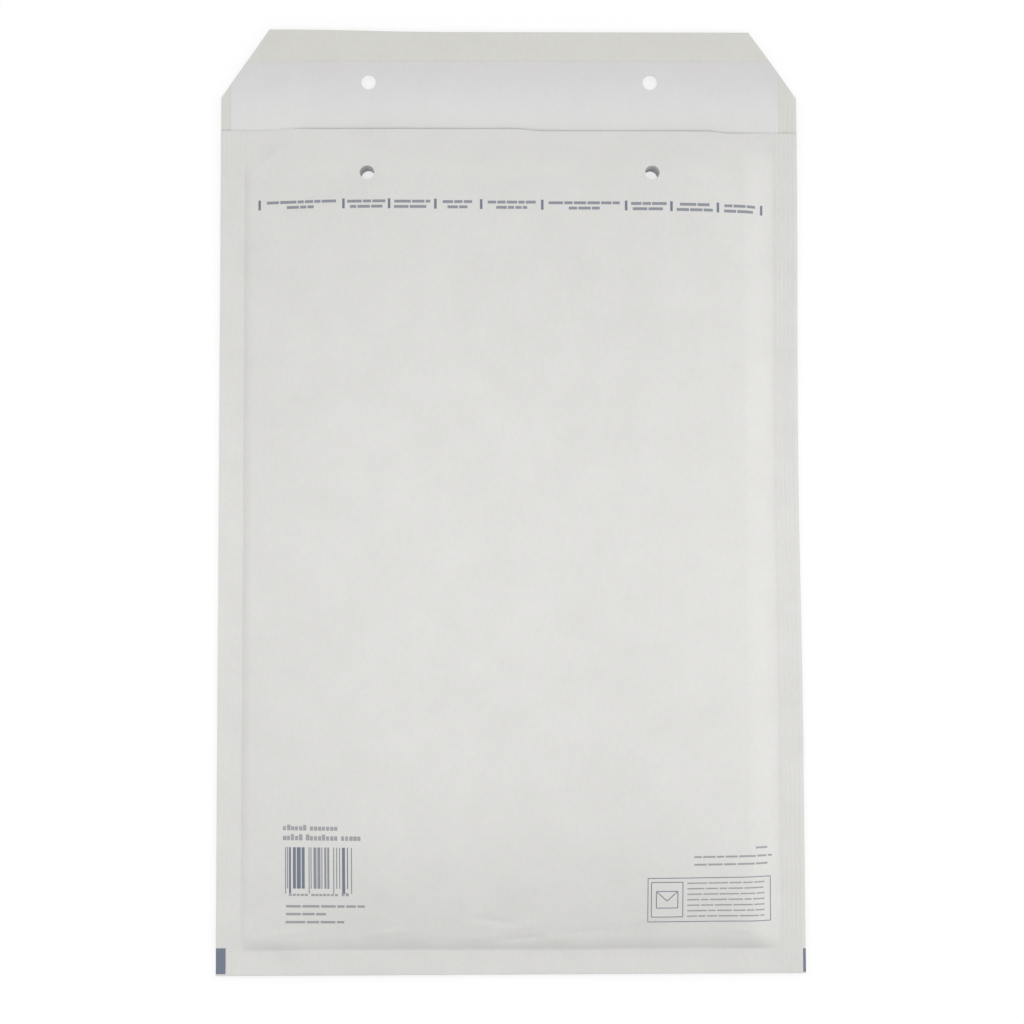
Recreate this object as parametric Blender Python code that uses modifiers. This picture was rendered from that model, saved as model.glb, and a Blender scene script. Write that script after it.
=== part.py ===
"""A padded mailing envelope that lies on its back with the flap open.

The outer sheet is one paper blank, folded across the bottom, so that a front panel lies
over a back panel, and the back panel runs on past the mouth as the flap. A bubble film
lining lies inside. It is crushed flat in the ribbed side seams and in the strip along
the bottom, and a pocket with an open mouth is left in its middle. The flap carries a
band of adhesive under a release liner. Two holes for paper fasteners go through the
flap, and two through the body, at the same distance from the mouth.

X runs across the envelope, +Y from the bottom fold to the flap, and +Z up from the
surface that the envelope lies on. The origin is the middle of the box's underside.
Lengths along the envelope are counted from the bottom fold, and heights from the
surface. Metres.
"""

import math

import bmesh
import bpy
from mathutils import Matrix

# Outline seen from above
WIDTH = 0.240
LENGTH = 0.348  # bottom fold to mouth
FLAP_LENGTH = 0.042
FLAP_SHOULDER = 0.0133  # the flap keeps its full width this far past the mouth
FLAP_TAPER = 0.020  # what each cut corner takes off the flap's half width
FLAP_CURL = 0.0012  # how far the flap's free edge lifts

# Margins in which all layers are pressed flat
SEAM_WIDTH = 0.010
STRIP_WIDTH = 0.011
RIB_COUNT = 5
RIB_PITCH = 0.0018
RIB_HEIGHT = 0.00025
RIB_MARGIN = 0.0005  # plain stretch between the outermost rib and the edge
RIB_OVERRUN = 0.006  # how far the ribs run on past the mouth, on the flap

# Form of the pad
PAD_HEIGHT = 0.0128
CROWN = 0.0008  # how much lower the pad is at its ends than in the middle
EDGE_LEFT = 0.008  # width of the slope from seam to pad
EDGE_RIGHT = 0.016
EDGE_BOTTOM = 0.012
EDGE_CORNER = 0.009
CORNER_IN = 0.019  # the pad's lowered corners at the mouth, along the mouth
CORNER_UP = 0.0145  # and along the seams
CORNER_FLOOR = 0.74  # share of the pad's height that the lowered corners keep
MOUTH_DIP = 0.0014  # how far the bulge pulls the front panel's edge back
DIP_POWER = 8  # how fast that fades away from the mouth

# Layers, from the outside in
PAPER = 0.00025
GAP = 0.0003
FILM = 0.0030
SEAM_LOW = 0.0020  # underside of the seams
SEAM_HIGH = 0.0034  # top of the seams
LINING_SETBACK = 0.003  # the film ends this far inside the mouth

# Pocket in the lining
POCKET_HALF = 0.1075
POCKET_BOTTOM = 0.0135

# Closure on the flap, counted from the mouth
LINER_FROM = 0.0065
LINER_TO = 0.0287
LINER_THICKNESS = 0.00012
ADHESIVE_FROM = 0.010
ADHESIVE_TO = 0.025
ADHESIVE_THICKNESS = 0.00015
CLOSURE_INSET = 0.0004  # the closure's ends stay this far inside the flap's outline

# Fastener holes
HOLE_RADIUS = 0.003
HOLE_SPACING = 0.1175
HOLE_FROM_MOUTH = 0.020
HOLE_SIDES = 24
PUNCH_BELOW = 0.005
PUNCH_ABOVE = 0.020

# Worked out from the sizes above
HALF_WIDTH = WIDTH / 2
PAD_HALF = HALF_WIDTH - SEAM_WIDTH
TOTAL_LENGTH = LENGTH + FLAP_LENGTH
FOLD_RADIUS = (SEAM_HIGH - SEAM_LOW) / 2
SEAM_MIDDLE = (SEAM_HIGH + SEAM_LOW) / 2
SKIN = PAPER + GAP
FLANGE = SEAM_HIGH - SEAM_LOW - 2 * SKIN
SLOPE_STEP = 0.0001  # step for measuring how steep a panel is

# Colours, linear, with roughness
WHITE_PAPER = ((0.74, 0.74, 0.71), 0.62)
CLEAR_FILM = ((0.80, 0.84, 0.86), 0.28)
ADHESIVE = ((0.70, 0.66, 0.52), 0.35)
LINER_WHITE = ((0.72, 0.72, 0.73), 0.38)


def ramp(t):
    """Rises from 0 to 1, steep at first and level at the end, as a stuffed edge does."""
    t = min(max(t, 0.0), 1.0)
    return 1 - (1 - t) ** 2


def pad(x, y):
    """How far a point belongs to the pad: 0 on the pressed margins, 1 on the flat of it."""
    fade = 1 - max(y - LENGTH, 0.0) / FLAP_LENGTH
    y = min(y, LENGTH)
    side = ramp((PAD_HALF - abs(x)) / (EDGE_RIGHT if x > 0 else EDGE_LEFT))
    foot = ramp((y - STRIP_WIDTH) / EDGE_BOTTOM)
    inside = (PAD_HALF - abs(x)) * CORNER_UP + (LENGTH - CORNER_UP - y) * CORNER_IN
    corner = ramp(inside / math.hypot(CORNER_UP, CORNER_IN) / EDGE_CORNER)
    return side * foot * (CORNER_FLOOR + (1 - CORNER_FLOOR) * corner) * fade


def rib(x, y):
    """Height of the lengthwise ribs that the sealing bars press into the side seams."""
    along_ribs = (HALF_WIDTH - RIB_MARGIN - abs(x)) / RIB_PITCH
    if not 0 < along_ribs < RIB_COUNT or y > LENGTH + RIB_OVERRUN:
        return 0.0
    return RIB_HEIGHT * math.sin(math.pi * along_ribs) ** 2


def back_level(x, y):
    """Underside of the back panel and the flap."""
    lift = FLAP_CURL * (max(y - LENGTH, 0.0) / FLAP_LENGTH) ** 2
    return SEAM_LOW * (1 - pad(x, y)) + rib(x, y) + lift


def front_level(x, y):
    """Top of the front panel."""
    middle = LENGTH / 2
    top = PAD_HEIGHT - CROWN * ((y - middle) / middle) ** 2
    return SEAM_HIGH + (top - SEAM_HIGH) * pad(x, y) + rib(x, y)


def upright(level, x, y, depth):
    """A depth square to a panel, as a height: more than the depth where it slopes."""
    along_x = level(x + SLOPE_STEP, y) - level(x - SLOPE_STEP, y)
    along_y = level(x, y + SLOPE_STEP) - level(x, y - SLOPE_STEP)
    return depth * math.hypot(1.0, along_x / (2 * SLOPE_STEP), along_y / (2 * SLOPE_STEP))


def film(x, y):
    """Thickness of one layer of the lining: full in the pad, crushed in the margins."""
    return FLANGE / 2 + (FILM - FLANGE / 2) * pad(x, y)


def in_frame(x, y, z):
    """A point counted from the bottom fold, moved to the part's own origin."""
    return (x, y - TOTAL_LENGTH / 2, z)


def over_back(x, y, depth, more=0.0):
    """The point over a place on the back, a depth square to the panel and then some height."""
    return in_frame(x, y, back_level(x, y) + upright(back_level, x, y, depth) + more)


def under_front(x, y, depth, more=0.0):
    """The same under the front, which the bulge draws back from the mouth."""
    dip = MOUTH_DIP * pad(x, y) * (y / LENGTH) ** DIP_POWER
    return in_frame(x, y - dip, front_level(x, y) - upright(front_level, x, y, depth) - more)


def flap_half_width(y):
    """Half the sheet's width, which the cut corners of the flap bring in."""
    taper_length = FLAP_LENGTH - FLAP_SHOULDER
    return HALF_WIDTH - FLAP_TAPER * max(y - LENGTH - FLAP_SHOULDER, 0.0) / taper_length


def spaced(start, stop, count):
    """Count evenly spaced values from start, without stop."""
    return [start + (stop - start) * i / count for i in range(count)]


def mirrored(half):
    """A row of positions across the envelope, from the right half of it."""
    return [-x for x in reversed(half[1:])] + half


def pad_columns(outer):
    """Positions from the middle to the pad's foot, closer together on the slopes."""
    corner_start = PAD_HALF - CORNER_IN - EDGE_CORNER
    slope_start = PAD_HALF - EDGE_RIGHT
    return (
        spaced(0, corner_start, 2)
        + spaced(corner_start, slope_start, 4)
        + spaced(slope_start, outer, 9)
    )


def seam_columns():
    """Positions across a side seam, one on each crest and one in each valley."""
    last = HALF_WIDTH - RIB_MARGIN
    first = last - RIB_COUNT * RIB_PITCH
    return [PAD_HALF] + spaced(first, last, 2 * RIB_COUNT) + [last, HALF_WIDTH]


def pad_rows(first):
    """Positions along the pad to the mouth of the lining, closer together at both ends."""
    foot_end = STRIP_WIDTH + EDGE_BOTTOM
    corner_start = LENGTH - CORNER_UP - EDGE_CORNER
    last = LENGTH - LINING_SETBACK
    return (
        spaced(first, foot_end, 7)
        + spaced(foot_end, corner_start, 3)
        + spaced(corner_start, last, 8)
        + [last]
    )


def grid_mesh(columns, rows, place):
    """A grid of faces whose vertex in a column and a row is put where place says."""
    bm = bmesh.new()
    across = len(columns) - 1
    along = len(rows) - 1
    bmesh.ops.create_grid(bm, x_segments=across, y_segments=along, size=1.0)
    for vert in bm.verts:
        column = columns[round((vert.co.x + 1) / 2 * across)]
        row = rows[round((vert.co.y + 1) / 2 * along)]
        vert.co = place(column, row)
    return bm


def add_object(name, bm, collection, material=None):
    mesh = bpy.data.meshes.new(name)
    bm.to_mesh(mesh)
    bm.free()
    obj = bpy.data.objects.new(name, mesh)
    collection.objects.link(obj)
    if material:
        mesh.materials.append(material)
    return obj


def principled(name, look):
    colour, roughness = look
    material = bpy.data.materials.new(name)
    material.use_nodes = True
    shader = material.node_tree.nodes["Principled BSDF"]
    shader.inputs["Base Color"].default_value = (*colour, 1.0)
    shader.inputs["Roughness"].default_value = roughness
    return material


def cut_with(obj, cutter):
    cut = obj.modifiers.new("cut_" + cutter.name, "BOOLEAN")
    cut.operation = "DIFFERENCE"
    cut.solver = "EXACT"
    cut.object = cutter


def slab(name, columns, rows, lower, upper, collection, material=None, scaled=False):
    """A closed layer between two surfaces. Scaled columns are shares of the flap's width."""

    def across(x, y):
        return x * (flap_half_width(y) - CLOSURE_INSET) if scaled else x

    bm = grid_mesh(columns, rows, lambda x, y: (across(x, y), y, 0.0))
    bottom = bm.verts[:]
    grown = bmesh.ops.extrude_face_region(bm, geom=bm.faces[:])
    top = [item for item in grown["geom"] if isinstance(item, bmesh.types.BMVert)]
    for verts, surface in ((bottom, lower), (top, upper)):
        for vert in verts:
            x, y, _ = vert.co
            vert.co = surface(x, y)
    bmesh.ops.recalc_face_normals(bm, faces=bm.faces[:])
    return add_object(name, bm, collection, material)


def flap_rows(start, stop):
    """Positions along the flap between two distances from the mouth, the same in all its layers."""
    middle = (FLAP_SHOULDER + ADHESIVE_TO) / 2
    marks = [LINER_FROM, ADHESIVE_FROM, FLAP_SHOULDER, middle, ADHESIVE_TO, LINER_TO]
    return [LENGTH + mark for mark in marks if start <= mark <= stop]


def blank_rows():
    """Positions along the paper blank: down the flap and the back, round the fold, up the front."""
    flap = [LENGTH + RIB_OVERRUN] + flap_rows(LINER_FROM, LINER_TO) + [TOTAL_LENGTH]
    panel = [FOLD_RADIUS] + pad_rows(STRIP_WIDTH) + [LENGTH]
    back = [("back", y) for y in reversed(panel + flap)]
    fold = [("fold", math.radians(a)) for a in (-60, -30, 0, 30, 60)]
    front = [("front", y) for y in panel]
    return back + fold + front


def fold_blank(x, row):
    """Where a point of the flat blank comes to lie when the envelope is made up."""
    panel, along = row
    if panel == "fold":
        y = FOLD_RADIUS * (1 - math.cos(along))
        return in_frame(x, y, SEAM_MIDDLE + FOLD_RADIUS * math.sin(along) + rib(x, y))
    if panel == "back":
        return over_back(x * flap_half_width(along) / HALF_WIDTH, along, 0.0)
    return under_front(x, along, 0.0)


def envelope_paper(collection, punch):
    """The outer sheet, from one flat blank."""
    columns = mirrored(pad_columns(PAD_HALF) + seam_columns())
    bm = grid_mesh(columns, blank_rows(), fold_blank)
    material = principled("white_paper", WHITE_PAPER)
    paper = add_object("envelope_paper", bm, collection, material)
    thickness = paper.modifiers.new("paper", "SOLIDIFY")
    thickness.thickness = PAPER
    thickness.offset = -1.0
    thickness.use_even_offset = True
    thickness.use_quality_normals = True
    cut_with(paper, punch)
    return paper


def bubble_lining(collection, cutters, punch):
    """The bubble film as a plain padded layer, closed at the seams, with its pocket."""
    columns = mirrored(pad_columns(PAD_HALF) + seam_columns())
    lining = slab(
        "bubble_lining",
        columns,
        [2 * FOLD_RADIUS] + pad_rows(STRIP_WIDTH),
        lambda x, y: over_back(x, y, SKIN),
        lambda x, y: under_front(x, y, SKIN),
        collection,
        principled("clear_film", CLEAR_FILM),
    )
    pocket = slab(
        "pocket",
        mirrored(pad_columns(POCKET_HALF) + [POCKET_HALF]),
        pad_rows(POCKET_BOTTOM) + [LENGTH],
        lambda x, y: over_back(x, y, SKIN, film(x, y)),
        lambda x, y: under_front(x, y, SKIN, film(x, y)),
        cutters,
    )
    hide_cutter(pocket)
    cut_with(lining, pocket)
    cut_with(lining, punch)
    return lining


def flap_strip(name, start, stop, depth, thickness, collection, material):
    """A thin strip across the flap, a given depth above the underside of the paper."""
    columns = mirrored([x / HALF_WIDTH for x in pad_columns(PAD_HALF) + seam_columns()])
    return slab(
        name,
        columns,
        flap_rows(start, stop),
        lambda x, y: over_back(x, y, depth),
        lambda x, y: over_back(x, y, depth + thickness),
        collection,
        material,
        scaled=True,
    )


def closure(collection, punch):
    """The adhesive band on the flap and the liner that is peeled off it."""
    material = principled("adhesive", ADHESIVE)
    depth = PAPER + GAP
    adhesive = flap_strip(
        "adhesive_strip", ADHESIVE_FROM, ADHESIVE_TO, depth, ADHESIVE_THICKNESS, collection, material
    )
    depth += ADHESIVE_THICKNESS + GAP
    material = principled("release_liner", LINER_WHITE)
    liner = flap_strip(
        "release_liner", LINER_FROM, LINER_TO, depth, LINER_THICKNESS, collection, material
    )
    cut_with(adhesive, punch)
    cut_with(liner, punch)


def hide_cutter(obj):
    obj.hide_render = True
    obj.display_type = "WIRE"


def fastener_punch(cutters):
    """The four pins of the punch: two through the body and two through the flap."""
    bm = bmesh.new()
    for x in (-HOLE_SPACING / 2, HOLE_SPACING / 2):
        for y in (LENGTH - HOLE_FROM_MOUTH, LENGTH + HOLE_FROM_MOUTH):
            bmesh.ops.create_cone(
                bm,
                cap_ends=True,
                segments=HOLE_SIDES,
                radius1=HOLE_RADIUS,
                radius2=HOLE_RADIUS,
                depth=PUNCH_BELOW + PUNCH_ABOVE,
                matrix=Matrix.Translation(in_frame(x, y, (PUNCH_ABOVE - PUNCH_BELOW) / 2)),
            )
    punch = add_object("punch", bm, cutters)
    hide_cutter(punch)
    return punch


def new_collection(name):
    collection = bpy.data.collections.new(name)
    bpy.context.scene.collection.children.link(collection)
    return collection


def main():
    for obj in list(bpy.data.objects):
        bpy.data.objects.remove(obj)
    collection = new_collection("padded_envelope")
    cutters = new_collection("cutters")
    punch = fastener_punch(cutters)
    envelope_paper(collection, punch)
    bubble_lining(collection, cutters, punch)
    closure(collection, punch)


main()
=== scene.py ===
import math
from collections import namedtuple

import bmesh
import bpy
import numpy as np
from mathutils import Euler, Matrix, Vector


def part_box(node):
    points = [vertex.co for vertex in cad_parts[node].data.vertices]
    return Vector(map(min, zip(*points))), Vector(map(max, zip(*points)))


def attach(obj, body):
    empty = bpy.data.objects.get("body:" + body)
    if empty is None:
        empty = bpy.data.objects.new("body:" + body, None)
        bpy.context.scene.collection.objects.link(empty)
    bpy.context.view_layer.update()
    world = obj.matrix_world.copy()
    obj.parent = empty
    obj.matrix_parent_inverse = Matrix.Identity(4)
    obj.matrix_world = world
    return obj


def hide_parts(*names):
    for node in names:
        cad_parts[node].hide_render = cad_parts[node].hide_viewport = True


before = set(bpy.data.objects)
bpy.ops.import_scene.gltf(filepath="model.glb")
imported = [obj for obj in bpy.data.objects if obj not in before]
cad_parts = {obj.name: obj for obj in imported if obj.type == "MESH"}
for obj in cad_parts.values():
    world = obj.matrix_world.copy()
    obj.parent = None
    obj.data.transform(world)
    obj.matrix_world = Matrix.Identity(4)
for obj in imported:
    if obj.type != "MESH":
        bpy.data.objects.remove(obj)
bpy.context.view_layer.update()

# Looks of a padded mailing envelope that lies on its back with the flap open.
#
# The paper is one sheet, folded across the bottom, with ribbed side seams and a pressed strip
# along the foot. Bubble film lines it, the flap carries a release liner over its adhesive, and
# the front is printed. X runs across the envelope and Y along it, and the row frame has its
# origin under the middle of the whole sheet. In the functions below, x is counted from there
# and y from the bottom fold along each panel. Heights are above the surface that the envelope
# lies on. Metres.

# Sheet, from the frame
PAPER_LOW, PAPER_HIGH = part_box("envelope_paper")
HALF_WIDTH = PAPER_HIGH.x
TOTAL_LENGTH = PAPER_HIGH.y - PAPER_LOW.y
LINING_SETBACK = 0.003  # the film ends this far inside the mouth
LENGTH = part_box("bubble_lining")[1].y - PAPER_LOW.y + LINING_SETBACK  # bottom fold to mouth
FLAP_LENGTH = TOTAL_LENGTH - LENGTH
FLAP_SHOULDER = 0.0133  # the flap keeps its full width this far past the mouth
FLAP_TAPER = 0.020  # what each cut corner takes off the flap's half width
FLAP_CURL = 0.0012  # how far the flap's free edge lifts
GROOVE_PLACE = 0.0004  # the flap folds over along a groove, this far past the front's edge
GROOVE_HALF = 0.0006  # half of its width
GROOVE_DEPTH = 0.00038
GROOVE_DEPTH_LOSS = 0.6  # share of its depth that it loses along the pad
GROOVE_ROWS = (-0.0028, 0.0010)  # from and to where past the mouth rows are close together
GROOVE_ROW_STEP = 0.0002

# Margins in which all layers are pressed flat
PAD_HALF = HALF_WIDTH - 0.010
STRIP_WIDTH = 0.0103
RIB_COUNT = 5
RIB_PITCH = 0.0018
RIB_HEIGHT = 0.00014
RIB_MARGIN = 0.0005  # plain stretch between the outermost rib and the edge
RIB_OVERRUN = 0.014  # the ribs fade out this far past the mouth

# Form of the pad
PAD_HEIGHT = 0.0128
CROWN = 0.0008  # how much lower the pad is at its ends than in the middle
EDGE_LEFT = 0.0040  # width of the steep slope from seam to pad
EDGE_RIGHT = 0.0140  # and of the gentle one on the right
EDGE_BOTTOM = 0.0060
EDGE_CORNER = 0.005
SHOULDER_LEFT = 0.065  # width of the slow rise that goes on after that slope
SHOULDER_RIGHT = 0.060
SHOULDER_BOTTOM = 0.055
SHOULDER_SHARE_LEFT = 0.85  # how much of the height the slow rise makes
SHOULDER_SHARE_RIGHT = 0.68
SHOULDER_SHARE_BOTTOM = 0.86
FOOT_END = 0.030  # the foot is steeper this near to the side seams
FOOT_END_SHARE = 0.35
CORNER_IN = 0.019  # the pad's lowered corners at the mouth, along the mouth
CORNER_UP = 0.0145  # and along the seams
CORNER_FLOOR_LEFT = 0.15  # share of the pad's height that the lowered corners keep
CORNER_FLOOR_RIGHT = 0.80
MOUTH_SAG = 0.0082  # how far the front panel comes down at the mouth
MOUTH_SAG_REACH = 0.023
MOUTH_LIFT = 0.9  # share by which the back panel lifts off the ground at the mouth
MOUTH_LIFT_REACH = 0.025
MOUTH_STEPS = (  # where the front's edge steps back, over what width, and by how much
    (-0.090, -0.010, 0.0008),
    (0.003, 0.010, 0.0008),
    (0.082, 0.010, 0.0009),
)
DIP_POWER = 8  # how fast those steps fade away from the mouth

# Unevenness of a real sheet
NOISE_WAVES = 14  # waves that a smooth random height is the sum of
NOISE_RATES = (0.6, 1.5)  # how fast they go, next to a wave of the stated length
EDGE_BOW = 0.0008  # how far the right edge bows in
EDGE_BOW_AT = 0.215  # along the envelope
EDGE_BOW_REACH = 0.125
EDGE_BOW_FROM = 0.07  # across it, the bow grows from here
EDGE_BOW_WIDTH = 0.05
WAVE = 0.00012  # slow waves of the front panel
WAVE_LENGTH = 0.055
WAVE_RISE = 2.0  # the waves and creases reach their full height at 1 / this share of the pad
COCKLE = 0.00016  # shorter waves along the seams
COCKLE_LENGTH = 0.026
COCKLE_FADE = 0.006  # they end this far into the pad
FOOT_WOBBLE = 0.00015  # how far the line along the pad's foot wanders
FOOT_WOBBLE_LENGTH = 0.060
TIP_STEP = 0.0009  # how much shorter the flap is right of the slant in its edge
TIP_STEP_FROM = -0.090
TIP_STEP_WIDTH = 0.062
TIP_POWER = 4  # how fast that fades away from the edge

# Layers
PAPER = 0.00018
SEAM_LOW = 0.00242  # underside of the seams
SEAM_HIGH = 0.00298  # top of the seams
FILM_DEPTH = 0.00020  # the film's outer skin lies this deep under the paper's outer side
FILM_SKIN = 0.00006
FILM_INSET = 0.0003  # the film stays this far inside the paper's edges and fold
SLOPE_STEP = 0.0001  # step for measuring how steep a panel is
ROUNDING = 1e-6
SHARP_ANGLE = 38  # edges with a greater angle, in degrees, are shaded as edges
SEAM_MIDDLE = (SEAM_HIGH + SEAM_LOW) / 2
FOLD_RADIUS = (SEAM_HIGH - SEAM_LOW) / 2  # of the fold across the bottom
FOLD_ANGLES = (-72, 90, 18)  # degrees: its first point, its end and the step between points

# Bubbles of the lining
BUBBLE_PITCH = 0.0112
BUBBLE_RADIUS = 0.0049
BUBBLE_HEIGHT = 0.0038
BUBBLE_ROOM = 0.47  # a bubble takes at most this share of the room between the two films
BUBBLE_CUT_HEIGHT = 0.4  # height that a bubble keeps when the film's edge cuts it open
BUBBLE_LEAST = 0.0012  # lower bubbles are pressed flat
BUBBLE_PROFILE = ((1.0, 0.0), (0.985, 0.45), (0.88, 0.80), (0.60, 0.965))  # of radius and height
BUBBLE_SIDES = 8
FINE_BUBBLE_SIDES = 16
FINE_BUBBLE_REACH = 0.060  # the bubbles are finer modelled this near to the mouth
BUBBLE_SHARP_ANGLE = 50

# Closure on the flap, counted from the mouth
LINER_FROM = -0.0022
LINER_TO = 0.0287
LINER_ENDS = (-0.1160, 0.1123)  # where the liner stops short of the sides
ADHESIVE_FROM = 0.010
ADHESIVE_TO = 0.025
ADHESIVE_DEPTHS = (0.00019, 0.00023)  # underside and top, above the underside of the paper
LINER_DEPTHS = (0.00024, 0.00030)
ADHESIVE_ENDS = (-0.1140, 0.1103)
CLOSURE_INSET = 0.0004  # the closure's ends stay this far inside the flap's outline
LINER_LIFT = 0.00004  # how far the liner's free edges stand off the paper
LIFT_REACH = 0.0035
LIFT_UNEVEN = 0.25  # share of that lift that comes and goes
LIFT_LENGTH = 0.05
PAINTED_SHADE_SPAN = (0.158, 0.184)  # painted shade: the liner's colour darkens between these places along Y, standing in for the light that falls off towards the flap's free edge

# Fastener holes
HOLE_RADIUS = 0.003
HOLE_SPACING = 0.1175
HOLE_FROM_MOUTH = 0.020
HOLE_SIDES = 40
PUNCH_LENGTH = 0.04
PUNCH_MIDDLE = 0.01  # height of the middle of the punch's pins
RIM_RADII = (0.00303, 0.00320)  # inside and outside of the film's rims in the holes

# Creases pressed into the front panel. Places in the row frame, angle in degrees from X.
Crease = namedtuple("Crease", "x y angle length width height")
CREASES = (
    Crease(0.0010, -0.1765, 24, 0.013, 0.0024, 0.00090),
    Crease(0.0045, -0.1800, 8, 0.012, 0.0024, -0.00090),
    Crease(-0.0080, -0.1725, -12, 0.012, 0.0026, -0.00055),
    Crease(0.0180, -0.1805, -28, 0.012, 0.0026, 0.00050),
    Crease(-0.0500, -0.1775, 14, 0.010, 0.0026, 0.00075),
    Crease(-0.0580, -0.1700, -24, 0.012, 0.0040, 0.00035),
    Crease(-0.0260, -0.1790, -38, 0.009, 0.0022, 0.00035),
    Crease(-0.0170, -0.1460, 70, 0.007, 0.0020, 0.00018),
    Crease(0.0300, -0.1775, 5, 0.020, 0.0040, -0.00035),
    Crease(0.0580, -0.1720, 8, 0.022, 0.0050, 0.00035),
    Crease(0.0930, -0.1770, -6, 0.012, 0.0030, 0.00040),
    Crease(0.1000, -0.1740, 40, 0.009, 0.0030, 0.00030),
    Crease(-0.0900, -0.1775, 4, 0.012, 0.0026, 0.00030),
    Crease(-0.1008, 0.1432, 45, 0.0125, 0.0026, -0.00120),
)
HOLLOW_WIDTH = 3.0  # the film dips under a fold that goes down, over this many times its width

# Printed marks. Places in the row frame.
INK_LIFT = 0.00002
INK_THICKNESS = 0.00002
INK_CELL = 0.0012
TICKS = (-0.1034, -0.0684, -0.0496, -0.0306, -0.0118, 0.0133, 0.0478, 0.0665, 0.0859, 0.1046)
TICK_Y = 0.1203
TICK_DROP = 0.0018  # the row stands this much lower at its right end
TICK_HEIGHT = 0.0041
TICK_WIDTH = 0.00102
CELL_LINES = (  # widths of the upper and the lower line of each cell
    (0.0289, 0.0121), (0.0157, 0.0133), (0.0148, 0.0150), (0.0128, 0.0088), (0.0197, 0.0127),
    (0.0293, 0.0127), (0.0146, 0.0132), (0.0123, 0.0151), (0.0132, 0.0135),
)
CELL_LINE_RISE = 0.0011
CELL_LINE_HEIGHT = 0.00145
CELL_LETTER = 0.00085
FULL_INK, LIGHT_INK, FAINT_INK = 0, 1, 2
WORD_LETTERS = (3, 9)  # fewest letters of a word, and one more than the most
SHORTEST_WORD = 1.5  # letters that must still fit on the line
WORD_GAP = 0.6  # in letters
WORD_HEIGHT = 0.8  # share of the line's height
LETTER_WIDTHS = (0.70, 0.86)  # shares of a letter's room that are inked
LETTER_HEIGHTS = (1.0, 0.72, 0.72, 0.72)  # shares of the line's height
NARROWEST_LETTER = 0.6
LETTER_WORD_GAP = 0.7
SMALL_HEIGHT = 0.0012
SMALL_LETTER = 0.0010
NOTICE_HEIGHT = 0.0009
CODE_LETTERS = (  # left, right, foot, height and letter width of each line
    (-0.0924, -0.0691, -0.1357, 0.0022, 0.00165),
    (-0.0924, -0.0590, -0.1397, 0.0024, 0.00165),
    (-0.0900, -0.0650, -0.1622, 0.0012, 0.0016),
)
CODE_LINES = (  # left, right and foot of each line
    (-0.0912, -0.0572, -0.1669), (-0.0912, -0.0740, -0.1701), (-0.0914, -0.0673, -0.1734),
)
BARS_FROM = -0.0915
BAR_HEIGHTS = (-0.1592, -0.1425)
BAR_UNIT = 0.00040
BAR_OVERRUN = 0.0020
BAR_GROUPS = (  # ink, and bars and gaps by turns, in units
    (LIGHT_INK, (1, 1, 1, 1)),
    (FULL_INK, (2, 2, 3, 1, 4, 1, 3, 4)),
    (LIGHT_INK, (1, 1, 1, 2, 3, 1, 3, 1, 1, 2, 2, 1, 2, 4)),
    (LIGHT_INK, (1, 2, 1, 2, 1, 2)),
    (FULL_INK, (3, 2, 1, 3)),
    (LIGHT_INK, (1, 1)),
)
NOTICE_LINES = (
    (0.0994, 0.1046, -0.1440), (0.0740, 0.1064, -0.1473), (0.0740, 0.1064, -0.1504),
)
NOTICE_BOX = (0.0552, 0.1056, -0.1733, -0.1554)  # left, right, low, high
NOTICE_TEXT = (0.0712, 0.1030, -0.1578)  # left, right, foot of the first line
NOTICE_TEXT_HEIGHT = 0.00065
NOTICE_ROWS = 7
NOTICE_ROW_PITCH = 0.00226
SIGN_BOX = (0.0566, 0.0694, -0.1713, -0.1571)
SIGN_MARGINS = (0.16, 0.26)  # around the picture, as shares of the frame's sides
SIGN_POINT = 0.42  # height of the point of the picture's flap, as a share of its own
FRAME_LINE = 0.00030
SIGN_LINE = 0.00032
EDGE_MARKS = ((-0.1199, -0.1160, -0.1942, -0.1838), (0.1189, 0.12003, -0.1944, -0.1850))
EDGE_MARK_CELL = RIB_PITCH / 16

# Looks. Colours are the darkest and the lightest of an uneven surface.
PaperLook = namedtuple("PaperLook", "dark light roughness tooth shade", defaults=[None])
OUTSIDE_LOOK = PaperLook(
    (0.722, 0.717, 0.697), (0.782, 0.777, 0.757), roughness=(0.52, 0.64), tooth=0.25
)
INSIDE_LOOK = PaperLook(
    (0.712, 0.706, 0.667), (0.770, 0.764, 0.725), roughness=(0.56, 0.68), tooth=0.30
)
LINER_LOOK = PaperLook(
    (0.768, 0.766, 0.762), (0.812, 0.810, 0.806), roughness=(0.34, 0.42), tooth=0.12,
    # shade is painted shade, multiplied into the liner's colour towards the flap's free edge for
    # the light that falls off there
    shade=(0.940, 0.924, 0.942),
)
PAPER_SPECULAR = 0.35
FILM_COLOURS = ((0.84, 0.86, 0.87), (0.90, 0.91, 0.92))
FILM_ROUGHNESS = (0.14, 0.26)
FILM_OPACITY = 0.60
ADHESIVE_COLOURS = ((0.66, 0.62, 0.48), (0.74, 0.70, 0.56))
ADHESIVE_ROUGHNESS = (0.28, 0.42)
INK_ROUGHNESS = (0.45, 0.60)
INKS = (
    ("full_ink", (0.155, 0.180, 0.240), (0.210, 0.235, 0.305)),
    ("light_ink", (0.245, 0.262, 0.305), (0.330, 0.345, 0.385)),
    ("faint_ink", (0.33, 0.335, 0.35), (0.41, 0.415, 0.43)),
)
NOISE_SPREAD = (0.3, 0.7)  # noise keeps mostly between these

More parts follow.
